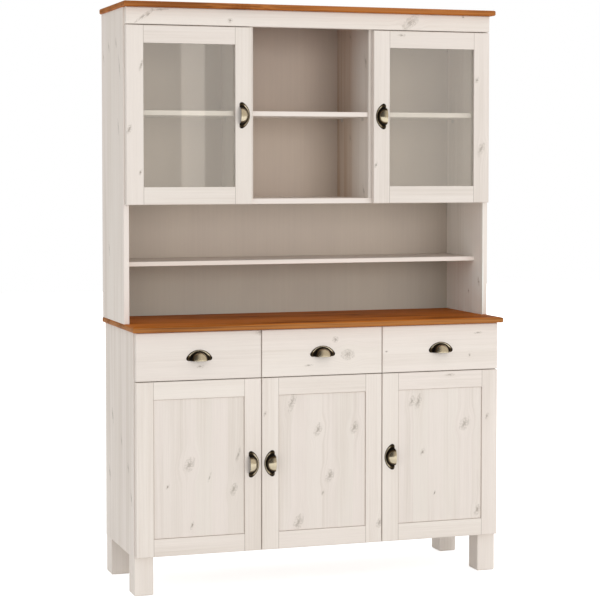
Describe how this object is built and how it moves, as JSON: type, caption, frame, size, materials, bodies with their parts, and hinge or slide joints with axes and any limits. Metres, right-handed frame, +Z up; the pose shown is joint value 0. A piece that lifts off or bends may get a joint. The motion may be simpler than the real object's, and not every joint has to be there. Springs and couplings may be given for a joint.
{
  "type": "dresser with hutch",
  "caption": "Free-standing dresser: drawers over framed cupboard doors, and a hutch of glazed doors, open compartment and open niche, on square legs.",
  "frame": {"origin": "on the floor, at the middle of the outer box", "axes": "+Z up, +X along the width to the right of someone who faces the doors, +Y from the doors to the back"},
  "size_m": [1.32, 0.4676, 1.95],
  "materials": {
    "whitewashed_pine": "solid knotty pine under a thin matt white glaze",
    "honey_pine": "solid pine stained antique honey brown, satin lacquer",
    "back_board": "thin pine board under the same glaze, matt",
    "plain_pine": "untreated sanded pine",
    "antique_brass": "aged brass, dark in the corners and rubbed bright on the dome",
    "clear_glass": "clear polished float glass",
    "plated_steel": "nickel-plated steel"
  },
  "bodies": {
    "carcass": {"base_side_left": "whitewashed_pine", "base_side_right": "whitewashed_pine", "base_floor": "whitewashed_pine", "base_partition_left": "whitewashed_pine", "base_partition_right": "whitewashed_pine", "base_rails": "whitewashed_pine", "base_back": "back_board", "base_shelves": "whitewashed_pine", "worktop": "honey_pine", "leg_front_left": "whitewashed_pine", "leg_front_right": "whitewashed_pine", "leg_rear_left": "whitewashed_pine", "leg_rear_right": "whitewashed_pine", "drawer_runners": "plain_pine", "hutch_side_left": "whitewashed_pine", "hutch_side_right": "whitewashed_pine", "hutch_floor": "whitewashed_pine", "hutch_partition_left": "whitewashed_pine", "hutch_partition_right": "whitewashed_pine", "hutch_shelves": "whitewashed_pine", "niche_shelf": "whitewashed_pine", "hutch_back": "back_board", "frieze": "whitewashed_pine", "hutch_top": "honey_pine", "shelf_clips": "plated_steel", "hinge_arms": "plated_steel"},
    "drawer_left": {"drawer_left_front": "whitewashed_pine", "drawer_left_box": "plain_pine", "drawer_left_bottom": "plain_pine", "drawer_left_pull": "antique_brass"},
    "drawer_middle": {"drawer_middle_front": "whitewashed_pine", "drawer_middle_box": "plain_pine", "drawer_middle_bottom": "plain_pine", "drawer_middle_pull": "antique_brass"},
    "drawer_right": {"drawer_right_front": "whitewashed_pine", "drawer_right_box": "plain_pine", "drawer_right_bottom": "plain_pine", "drawer_right_pull": "antique_brass"},
    "door_left": {"door_left_frame": "whitewashed_pine", "door_left_panel": "whitewashed_pine", "door_left_pull": "antique_brass", "door_left_hinge_cups": "plated_steel"},
    "door_middle": {"door_middle_frame": "whitewashed_pine", "door_middle_panel": "whitewashed_pine", "door_middle_pull": "antique_brass", "door_middle_hinge_cups": "plated_steel"},
    "door_right": {"door_right_frame": "whitewashed_pine", "door_right_panel": "whitewashed_pine", "door_right_pull": "antique_brass", "door_right_hinge_cups": "plated_steel"},
    "glass_door_left": {"glass_door_left_frame": "whitewashed_pine", "glass_door_left_glass": "clear_glass", "glass_door_left_pull": "antique_brass", "glass_door_left_hinge_cups": "plated_steel"},
    "glass_door_right": {"glass_door_right_frame": "whitewashed_pine", "glass_door_right_glass": "clear_glass", "glass_door_right_pull": "antique_brass", "glass_door_right_hinge_cups": "plated_steel"}
  },
  "joints": [
    {"name": "drawer_left_slide", "type": "slide", "parent": "carcass", "child": "drawer_left", "axis": [0, -1, 0], "range_m": [0, 0.3]},
    {"name": "drawer_middle_slide", "type": "slide", "parent": "carcass", "child": "drawer_middle", "axis": [0, -1, 0], "range_m": [0, 0.3]},
    {"name": "drawer_right_slide", "type": "slide", "parent": "carcass", "child": "drawer_right", "axis": [0, -1, 0], "range_m": [0, 0.3]},
    {"name": "door_left_hinge", "type": "hinge", "parent": "carcass", "child": "door_left", "pos_m": [-0.6385, -0.20675, 0.41875], "axis": [0, 0, -1], "range_deg": [0, 110]},
    {"name": "door_middle_hinge", "type": "hinge", "parent": "carcass", "child": "door_middle", "pos_m": [0.20983, -0.20675, 0.41875], "axis": [0, 0, 1], "range_deg": [0, 110]},
    {"name": "door_right_hinge", "type": "hinge", "parent": "carcass", "child": "door_right", "pos_m": [0.6385, -0.20675, 0.41875], "axis": [0, 0, 1], "range_deg": [0, 110]},
    {"name": "glass_door_left_hinge", "type": "hinge", "parent": "carcass", "child": "glass_door_left", "pos_m": [-0.645, -0.11275, 1.57825], "axis": [0, 0, -1], "range_deg": [0, 110]},
    {"name": "glass_door_right_hinge", "type": "hinge", "parent": "carcass", "child": "glass_door_right", "pos_m": [0.645, -0.11275, 1.57825], "axis": [0, 0, 1], "range_deg": [0, 110]}
  ]
}
